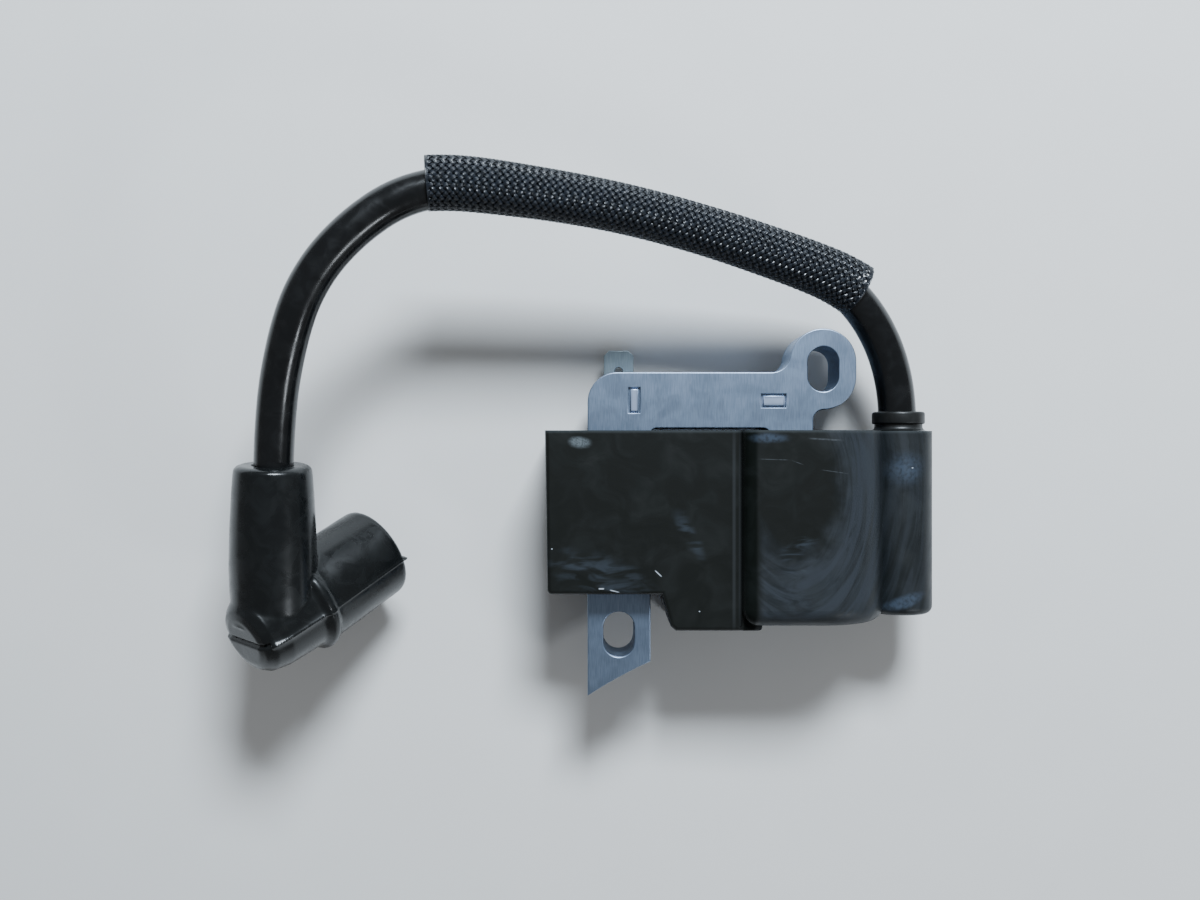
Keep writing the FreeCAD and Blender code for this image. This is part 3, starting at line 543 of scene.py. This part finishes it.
    # Painted shade: less gloss in the valley
    gloss_with_painted_shade = g.between(shaded_valley, 0.0, 1.0, 0.42, 0.06)
    return g.finish(Base_Color=colour, Roughness=rough, Normal=normal, Specular_IOR_Level=gloss_with_painted_shade)


def steel_material(name, light, dark, turn=0.0, highlight_pads=()):
    """Rolled sheet with grain one way, faint blotches, stray scratches and a painted highlight on the
    pressed pads.
    """
    g = Graph(name)
    grain = g.noise(1.0, 5.0, 0.1, g.stretched((6500.0, 420.0, 6500.0), (0.0, 0.0, turn)))
    blotch = g.noise(240.0, 4.0, 0.6)
    scratch = g.noise(1.0, 2.0, 0.6, g.stretched((6200.0, 150.0, 800.0), (0.0, 0.0, 0.9)))
    cut = g.math("MULTIPLY", g.between(scratch, 0.72, 0.76), 0.4)
    tone = g.math("ADD", g.math("MULTIPLY", grain, 0.85), g.math("MULTIPLY", blotch, 0.15))
    colour = g.mix(cut, g.mix(g.between(tone, 0.36, 0.64), dark, light), (0.50, 0.56, 0.64))
    # Painted highlight on the pressed pads
    if highlight_pads:
        pad_highlight = g.all_of([g.streak(start, end, width) for start, end, width in highlight_pads])
        colour = g.mix(pad_highlight, colour, (0.52, 0.62, 0.82))
    rough = g.between(blotch, 0.3, 0.7, 0.41, 0.46)
    normal = g.bump(grain, 0.12, 0.00003)
    return g.finish(Base_Color=colour, Roughness=rough, Metallic=1.0, Normal=normal)


def dusty(g, size, share):
    """A mask of sparse specks of dust."""
    cells = g.add("TexVoronoi", {"feature": "F1"}, Vector=g.place, Scale=size)
    speck = g.between(cells.outputs["Distance"], 0.05, 0.10, 1.0, 0.0)
    chosen = g.add("SeparateColor", Color=cells.outputs["Color"]).outputs[0]
    return g.math("MULTIPLY", speck, g.math("LESS_THAN", chosen, share))


def rubber_material(name, colour, rough, dust):
    """Moulded rubber: even black with a soft gloss, faint bloom and a little dust."""
    g = Graph(name)
    bloom = g.noise(300.0, 5.0, 0.8)
    skin = g.noise(4200.0, 4.0)
    pale = tuple(1.3 * c + 0.0012 for c in colour)
    tone = g.mix(g.between(bloom, 0.4, 0.75), colour, pale)
    if dust:
        tone = g.mix(dusty(g, 420.0, dust), tone, (0.22, 0.23, 0.22))
    normal = g.bump(bloom, 0.03, 0.0002, g.bump(skin, 0.06, 0.00004))
    return g.finish(
        Base_Color=tone,
        Roughness=g.between(bloom, 0.3, 0.7, rough - 0.05, rough + 0.06),
        Normal=normal,
        Specular_IOR_Level=0.5,
    )


def braid_material():
    """Black monofilament: each strand is a row of round filaments, by its own coordinates."""
    g = Graph("braid_fibre")
    across = g.add("UVMap", {"uv_map": "strand"}).outputs["UV"]
    side = g.add("SeparateXYZ", Vector=across).outputs[0]
    ridges = g.math("SINE", g.math("MULTIPLY", side, 6 * math.pi))
    fuzz = g.noise(5200.0, 3.0)
    tone = g.between(g.noise(600.0, 4.0), 0.3, 0.7)
    shade = g.mix(tone, (0.0075, 0.0098, 0.0135), (0.0140, 0.0180, 0.0250))
    normal = g.bump(ridges, 0.45, 0.00008, g.bump(fuzz, 0.15, 0.00004))
    rough = g.between(fuzz, 0.3, 0.7, 0.22, 0.36)
    return g.finish(Base_Color=shade, Roughness=rough, Normal=normal)


def moulded_material(
    name, first, second, rough, scale=600.0, metallic=0.0, grain=(1.0, 1.0, 1.0)
):
    """A two-tone moulded, dipped, plated or lacquered surface with a light texture."""
    g = Graph(name)
    tone = g.noise(scale, 4.0, 0.4, g.stretched(grain))
    fine = g.noise(6000.0, 3.0)
    normal = g.bump(tone, 0.10, 0.0001, g.bump(fine, 0.08, 0.00004))
    colour = g.mix(g.between(tone, 0.35, 0.7), first, second)
    rough_map = g.between(fine, 0.3, 0.7, rough - 0.05, rough + 0.05)
    return g.finish(Base_Color=colour, Roughness=rough_map, Metallic=metallic, Normal=normal)


def winding_material():
    """Enamelled wire laid in close turns across the leg's length."""
    g = Graph("winding_copper")
    along = {"bands_direction": "Y"}
    turns = g.add("TexWave", along, Vector=g.place, Scale=1600.0, Distortion=0.4)
    height = turns.outputs["Fac"]
    colour = g.mix(height, (0.16, 0.045, 0.016), (0.62, 0.24, 0.09))
    normal = g.bump(height, 0.6, 0.0001)
    return g.finish(Base_Color=colour, Roughness=0.30, Metallic=0.8, Normal=normal)


def board_material():
    """Green solder mask over faint tracks."""
    g = Graph("board_laminate")
    cells = g.add("TexBrick", Vector=g.stretched((1.0, 300.0, 300.0)), Scale=1.0)
    cells.inputs["Color1"].default_value = (0.015, 0.085, 0.030, 1.0)
    cells.inputs["Color2"].default_value = (0.020, 0.115, 0.040, 1.0)
    cells.inputs["Mortar"].default_value = (0.045, 0.190, 0.070, 1.0)
    rough = g.between(g.noise(900.0), 0.3, 0.7, 0.25, 0.4)
    return g.finish(Base_Color=cells.outputs["Color"], Roughness=rough)


def make_materials():
    made = {
        "case_plastic": case_material(),
        "braid_fibre": braid_material(),
        "winding_copper": winding_material(),
        "board_laminate": board_material(),
    }
    made.update({slot: rubber_material(slot, *look) for slot, look in RUBBERS.items()})
    made.update({slot: steel_material(slot, *look) for slot, look in STEELS.items()})
    made.update({slot: moulded_material(slot, *look) for slot, look in MOULDED.items()})
    return made


def dress(obj, material):
    obj.data.materials.clear()
    obj.data.materials.append(material)
    return obj


# ---------------------------------------------------------------- pressed sheets


def top_loops(node, level, tolerance=2e-5):
    """Closed loops of points round a CAD node's flat faces that look up at a level.

    The faces stay in the mesh's order, so that the loops come out the same on each run.
    """
    shape = bmesh.new()
    shape.from_mesh(frame["nodes"][node].data)
    bmesh.ops.remove_doubles(shape, verts=shape.verts, dist=1e-6)
    up = [face for face in shape.faces if face.normal.z > 0.99]
    flat = [face for face in up if abs(face.calc_center_median().z - level) < tolerance]
    after = {}
    for face in flat:
        for loop in face.loops:
            edge = loop.edge
            if sum(f in flat for f in edge.link_faces) == 1:
                after[loop.vert] = loop.link_loop_next.vert
    found = []
    while after:
        start, vert = after.popitem()
        ring = [start.co.copy()]
        while vert != start:
            ring.append(vert.co.copy())
            vert = after.pop(vert)
        found.append(ring)
    shape.free()
    return found


def plate(name, loops, middle, thickness, edge):
    """A flat plate with the loops as its outline and holes, with rounded edges."""
    data = bpy.data.curves.new(name, "CURVE")
    data.dimensions = "2D"
    data.fill_mode = "BOTH"
    data.extrude = thickness / 2 - edge
    data.bevel_depth = edge
    data.bevel_resolution = 2
    data.offset = -edge
    for ring in loops:
        spline = data.splines.new("POLY")
        spline.points.add(len(ring) - 1)
        for point, place in zip(spline.points, ring):
            point.co = (place.x, place.y, 0.0, 1.0)
        spline.use_cyclic_u = True
    curve = link(bpy.data.objects.new(name, data))
    bpy.context.view_layer.update()
    mesh = evaluated_mesh(curve)
    remove(curve)
    mesh.transform(Matrix.Translation((0.0, 0.0, middle)))
    return mesh


def joined(name, meshes, body):
    """One piece made of several meshes."""
    parts = [link(bpy.data.objects.new(name, mesh)) for mesh in meshes]
    shape = bmesh.new()
    for part in parts:
        shape.from_mesh(part.data)
        remove(part)
    data = bpy.data.meshes.new(name)
    shape.to_mesh(data)
    shape.free()
    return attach(link(bpy.data.objects.new(name, data)), body)


def by_angle(obj, degrees=35.0):
    """Smooth shading that keeps edges sharper than an angle."""
    data = obj.data
    data.polygons.foreach_set("use_smooth", [True] * len(data.polygons))
    data.set_sharp_from_angle(angle=math.radians(degrees))
    return obj


def width(ring):
    return max(point.x for point in ring) - min(point.x for point in ring)


def make_core(material):
    """The stack as separate sheets; the front one shows its clinch marks."""
    low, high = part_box("core_laminations")
    pitch = (high.z - low.z) / SHEET_COUNT
    loops = top_loops("core_laminations", high.z)
    through = [ring for ring in loops if len(ring) > SLOT_MIN_POINTS and width(ring) > SLOT_MIN_WIDTH]
    meshes = []
    for index in range(SHEET_COUNT):
        front = index == SHEET_COUNT - 1
        rings = loops if front else through
        edge = TOP_SHEET_EDGE if front else SHEET_EDGE
        middle = low.z + (index + 0.5) * pitch
        meshes.append(plate("sheet", rings, middle, pitch - SHEET_GAP, edge))
    core = by_angle(joined("core_sheets", meshes, "module"))
    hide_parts("core_laminations")
    return dress(core, material)


def make_tab(material):
    low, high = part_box("kill_switch_tab")
    loops = top_loops("kill_switch_tab", high.z)
    mesh = plate("tab", loops, (low.z + high.z) / 2, high.z - low.z, TAB_EDGE)
    tab = by_angle(joined("stop_tab", [mesh], "module"))
    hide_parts("kill_switch_tab")
    return dress(tab, material)


# ---------------------------------------------------------------- turned pieces


def axes(direction):
    """Two directions across an axis."""
    first = direction.orthogonal().normalized()
    return first, direction.cross(first)


def lathe(profile, origin, direction, sides=96):
    """A closed turned shape: profile is (distance along the axis, radius) from end to end."""
    first, second = axes(direction)
    verts, faces = [], []
    for along, radius in profile:
        for k in range(sides):
            angle = 2 * math.pi * k / sides
            out = first * math.cos(angle) + second * math.sin(angle)
            verts.append(origin + direction * along + out * radius)
    for row in range(len(profile) - 1):
        for k in range(sides):
            n = (k + 1) % sides
            near, far = row * sides, (row + 1) * sides
            faces.append((near + k, near + n, far + n, far + k))
    faces.append(tuple(reversed(range(sides))))
    last = (len(profile) - 1) * sides
    faces.append(tuple(last + k for k in range(sides)))
    return verts, faces


def arc(centre, radius, start, end, steps=8):
    """Points of a round, in (along, out) of a profile; angles are in degrees from along."""
    angles = [math.radians(start + (end - start) * i / steps) for i in range(steps + 1)]
    return [(centre[0] + radius * math.cos(a), centre[1] + radius * math.sin(a)) for a in angles]


def make_collar(material):
    low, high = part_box("lead_collar")
    centre = Vector(((low.x + high.x) / 2, 0.0, (low.z + high.z) / 2))
    ring, neck, bore = COLLAR_RADIUS, COLLAR_NECK_RADIUS, COLLAR_BORE_RADIUS
    foot, back, front = COLLAR_FOOT_ROUND, COLLAR_BACK_ROUND, COLLAR_FACE_ROUND
    face, step = high.y, high.y - COLLAR_RING_HEIGHT
    top = COLLAR_NECK_FOOT
    profile = [(top, bore), (top, neck + foot)]
    profile += arc((top + foot, neck + foot), foot, 180, 270, 6)
    profile += [(step - COLLAR_NECK_INSET, neck)]
    profile += arc((step + back, ring - back), back, 180, 90, 4)
    profile += arc((face - front, ring - front), front, 90, 0, 6)
    profile += [(face, bore + COLLAR_BORE_CHAMFER), (face - COLLAR_BORE_CHAMFER, bore)]
    verts, faces = lathe(profile, centre, Vector((0.0, 1.0, 0.0)))
    collar = by_angle(mesh_object("collar", verts, faces, "module"), 50.0)
    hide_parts("lead_collar")
    return dress(collar, material)


# ---------------------------------------------------------------- boot


def turned(name, profile, direction):
    """A closed turned shape about one of the boot's axes, as a loose object."""
    verts, faces = lathe(profile, ELBOW, direction)
    data = bpy.data.meshes.new(name)
    data.from_pydata([tuple(v) for v in verts], [], faces)
    data.update()
    return link(bpy.data.objects.new(name, data))


def applied(obj, kind, **settings):
    """Adds a modifier to an object and keeps its result as the object's mesh."""
    modifier = obj.modifiers.new(kind.lower(), kind)
    for key, value in settings.items():
        setattr(modifier, key, value)
    bpy.context.view_layer.update()
    mesh = evaluated_mesh(obj)
    obj.modifiers.clear()
    obj.data = mesh
    return obj


def blended_boot():
    """The boot's solid outside: both turned shapes run together, softened where they meet."""
    shape = bmesh.new()
    for profile, direction in ((BARREL_OUTLINE, BARREL_DIR), (SOCKET_OUTLINE, SOCKET_DIR)):
        part = turned("boot_part", profile, direction)
        shape.from_mesh(part.data)
        remove(part)
    bmesh.ops.remove_doubles(shape, verts=shape.verts, dist=1e-7)
    bmesh.ops.recalc_face_normals(shape, faces=shape.faces)
    data = bpy.data.meshes.new("boot")
    shape.to_mesh(data)
    shape.free()
    boot = link(bpy.data.objects.new("boot", data))
    applied(boot, "REMESH", mode="VOXEL", voxel_size=BOOT_VOXEL)
    return applied(boot, "SMOOTH", factor=0.5, iterations=8)


def ramp(distance, fade):
    """0 up to a place, then rising to 1 over the fade."""
    return np.clip(distance / fade, 0.0, 1.0)


def bell(distance, half_width):
    return np.exp(-((distance / half_width) ** 2))


def mark_seam(boot):
    """Raises the mould's seam along the socket, and cuts the slit across its closed end."""
    mesh = boot.data
    count = len(mesh.vertices)
    places = np.empty(count * 3)
    normals = np.empty(count * 3)
    mesh.vertices.foreach_get("co", places)
    mesh.vertex_normals.foreach_get("vector", normals)
    places = places.reshape(-1, 3)
    normals = normals.reshape(-1, 3)
    rel = places - np.array(ELBOW)
    along = rel @ np.array(SOCKET_DIR)
    off = rel @ np.array(SEAM_NORMAL)
    sideways = rel @ np.array(SEAM_SIDE)
    barrel = rel - np.outer(rel @ np.array(BARREL_DIR), np.array(BARREL_DIR))
    clear = ramp(np.linalg.norm(barrel, axis=1) - BARREL_CLEAR_RADIUS, BARREL_CLEAR_FADE)
    seam_side = (sideways > 0.0) * (along > SEAM_START)
    ridge = bell(off, SEAM_HALF_WIDTH) * seam_side * np.maximum(clear, along < BASE_END)
    on_base = ramp(BASE_RIDGE_END - along, BASE_RIDGE_FADE) * seam_side
    corner = bell(off, BASE_RIDGE_HALF_WIDTH) * on_base
    nib = ridge * bell(along - NIB_PLACE, NIB_HALF_LENGTH)
    lift = SEAM_HEIGHT * ridge + BASE_RIDGE_HEIGHT * corner + NIB_HEIGHT * nib
    slit = bell(off, SLIT_HALF_WIDTH) * ramp(SLIT_END - along, SLIT_FADE)
    below_seam = 0.5 * (1.0 - np.tanh(off / STEP_HALF_WIDTH))
    step = below_seam * ramp(STEP_END - along, STEP_FADE)
    lift -= SLIT_DEPTH * slit + STEP_DEPTH * step
    mesh.vertices.foreach_set("co", (places + normals * lift[:, None]).ravel())
    mesh.update()


def make_boot(material):
    """The rubber elbow, bored for the lead, the prong, the spring and the plug."""
    boot = blended_boot()
    mark_seam(boot)
    bores = ((PRONG_BORE, BARREL_DIR), (LEAD_BORE, BARREL_DIR), (PLUG_BORE, SOCKET_DIR))
    for profile, direction in bores:
        cutter = turned("cutter", profile, direction)
        applied(boot, "BOOLEAN", operation="DIFFERENCE", solver="EXACT", object=cutter)
        remove(cutter)
    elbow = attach(by_angle(boot, 50.0), "boot")
    elbow.name = "rubber_elbow"
    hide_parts("spark_plug_boot")
    return dress(elbow, material)


# ---------------------------------------------------------------- braided sleeve


def eased(s, values):
    """Values at SLEEVE_PLACES, run together smoothly over distances s."""
    steps = np.linspace(-1.0, 1.0, 9) * SLEEVE_SMOOTHING
    return np.mean([np.interp(s + step, SLEEVE_PLACES, values) for step in steps], axis=0)


def unit(rows):
    return rows / np.linalg.norm(rows, axis=1, keepdims=True)


def sleeve_line(rail, s):
    """The sleeve's own centres and cross directions: it lies loose, to the outside of the lead."""
    centre, side, up = rail.frames(s)
    centre = centre + side * eased(s, SLEEVE_OFFSETS)[:, None]
    side = unit(np.cross(unit(np.gradient(centre, axis=0)), up))
    return centre, side, up


def tube(line, flat, out, half_width, half_thickness, first):
    """A closed flat tube along a line: its vertices, faces and each vertex's place across it."""
    rows = len(line)
    turns = [2 * math.pi * k / STRAND_SIDES for k in range(STRAND_SIDES)]
    verts, faces, across = [], [], []
    for turn in turns:
        across_line = flat * half_width * math.cos(turn)
        verts.extend(line + across_line + out * half_thickness * math.sin(turn))
        across.extend([0.5 + 0.5 * math.cos(turn)] * rows)
    for k in range(STRAND_SIDES):
        a, b = first + k * rows, first + (k + 1) % STRAND_SIDES * rows
        faces.extend((a + i, a + i + 1, b + i + 1, b + i) for i in range(rows - 1))
    faces.append(tuple(first + k * rows for k in range(STRAND_SIDES)))
    faces.append(tuple(first + k * rows + rows - 1 for k in reversed(range(STRAND_SIDES))))
    return verts, faces, across


def make_sleeve(rail, material):
    """Every strand is a flat tube that winds round the lead, over and under its neighbours."""
    start, end = SLEEVE_SPAN
    crossing = SLEEVE_LAY / (2 * SLEEVE_STRANDS)
    steps = int((end - start) / crossing * STRAND_STEPS_PER_CROSSING)
    s = np.linspace(start, end, steps + 1)
    centre, side, up = sleeve_line(rail, s)
    half_width = eased(s, SLEEVE_HALF_WIDTHS)[:, None]
    weave = np.cos(math.pi * (s - start) / crossing)[:, None]
    verts, faces, across = [], [], []

    def add(line, flat, out, width, thickness):
        made = tube(line, flat, out, width, thickness, len(verts))
        for total, new in zip((verts, faces, across), made):
            total.extend(new)

    for way in (1.0, -1.0):
        for strand in range(SLEEVE_STRANDS):
            angle = 2 * math.pi * (strand / SLEEVE_STRANDS + way * (s - start) / SLEEVE_LAY)
            cos, sin = np.cos(angle)[:, None], np.sin(angle)[:, None]
            out = side * cos + up * sin
            line = centre + side * cos * half_width + up * sin * SLEEVE_HALF_HEIGHT
            line = line + out * way * STRAND_LIFT * weave
            flat = unit(np.cross(out, unit(np.gradient(line, axis=0))))
            add(line, flat, out, STRAND_HALF_WIDTH, STRAND_HALF_THICKNESS)
    for index in (0, -1):
        angle = np.linspace(0.0, 2 * math.pi, 97)[:, None]
        out = side[index] * np.cos(angle) + up[index] * np.sin(angle)
        wide, high = side[index] * half_width[index], up[index] * SLEEVE_HALF_HEIGHT
        line = centre[index] + wide * np.cos(angle) + high * np.sin(angle)
        along = np.cross(out, np.gradient(line, axis=0))
        add(line, unit(along), out, RIM_RADIUS, RIM_RADIUS)
    sleeve = mesh_object("woven_sleeve", verts, faces, "module")
    layer = sleeve.data.uv_layers.new(name="strand")
    corner = np.empty(len(sleeve.data.loops), dtype=np.int32)
    sleeve.data.loops.foreach_get("vertex_index", corner)
    uv = np.zeros((len(corner), 2), dtype=np.float32)
    uv[:, 0] = np.array(across, dtype=np.float32)[corner]
    layer.data.foreach_set("uv", uv.ravel())
    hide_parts("braided_sleeve")
    return dress(sleeve, material)


# ---------------------------------------------------------------- stage


def area_light(name, place, target, size, power, colour):
    data = bpy.data.lights.new(name, "AREA")
    data.shape = "RECTANGLE"
    data.size, data.size_y = size
    data.energy = power
    data.color = colour
    light = link(bpy.data.objects.new(name, data))
    light.location = place
    light.rotation_euler = (Vector(target) - Vector(place)).to_track_quat("-Z", "Y").to_euler()


def floor_material():
    g = Graph("floor_paper")
    tone = g.noise(60.0, 3.0)
    colour = g.mix(tone, (0.78, 0.775, 0.76), (0.82, 0.815, 0.80))
    return g.finish(Base_Color=colour, Roughness=0.9, Normal=g.bump(g.noise(2500.0), 0.05, 0.0001))


def make_stage():
    half = 3.0
    verts = [(-half, -half, 0.0), (half, -half, 0.0), (half, half, 0.0), (-half, half, 0.0)]
    data = bpy.data.meshes.new("floor")
    data.from_pydata(verts, [], [(0, 1, 2, 3)])
    floor = link(bpy.data.objects.new("floor", data))
    dress(floor, floor_material())
    target = (-0.025, 0.01, 0.01)
    area_light("key", (0.08, 0.46, 0.46), target, (0.22, 0.15), 9.0, (0.80, 0.90, 1.0))
    area_light("side", (0.42, -0.36, 0.36), target, (0.14, 0.10), 0.9, (0.88, 0.94, 1.0))
    world = bpy.data.worlds.new("studio")
    world.use_nodes = True
    background = world.node_tree.nodes["Background"]
    background.inputs["Color"].default_value = (0.95, 0.97, 1.0, 1.0)
    background.inputs["Strength"].default_value = 0.20
    bpy.context.scene.world = world


# ---------------------------------------------------------------- build


def make_lead(materials):
    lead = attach(route_curve("spark_lead", LEAD_RADIUS), "module")
    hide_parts("lead_jacket")
    dress(lead, materials["lead_insulation"])
    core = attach(route_curve("lead_strands", CONDUCTOR_RADIUS), "module")
    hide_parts("lead_conductor")
    dress(core, materials["conductor_copper"])
    return lead, core


def dress_cad(materials):
    """Every CAD node takes its own slot's material."""
    for part in frame["record"]["subparts"]:
        dress(frame["nodes"][part["node"]], materials[part["material_slot"]])


def main():
    make_camera()
    materials = make_materials()
    lead, strands = make_lead(materials)
    dress_cad(materials)
    rail = Rail()
    sleeve = make_sleeve(rail, materials["braid_fibre"])
    boot = make_boot(materials["boot_rubber"])
    make_core(materials["core_steel"])
    make_tab(materials["tab_metal"])
    make_collar(materials["collar_rubber"])
    make_stage()


main()
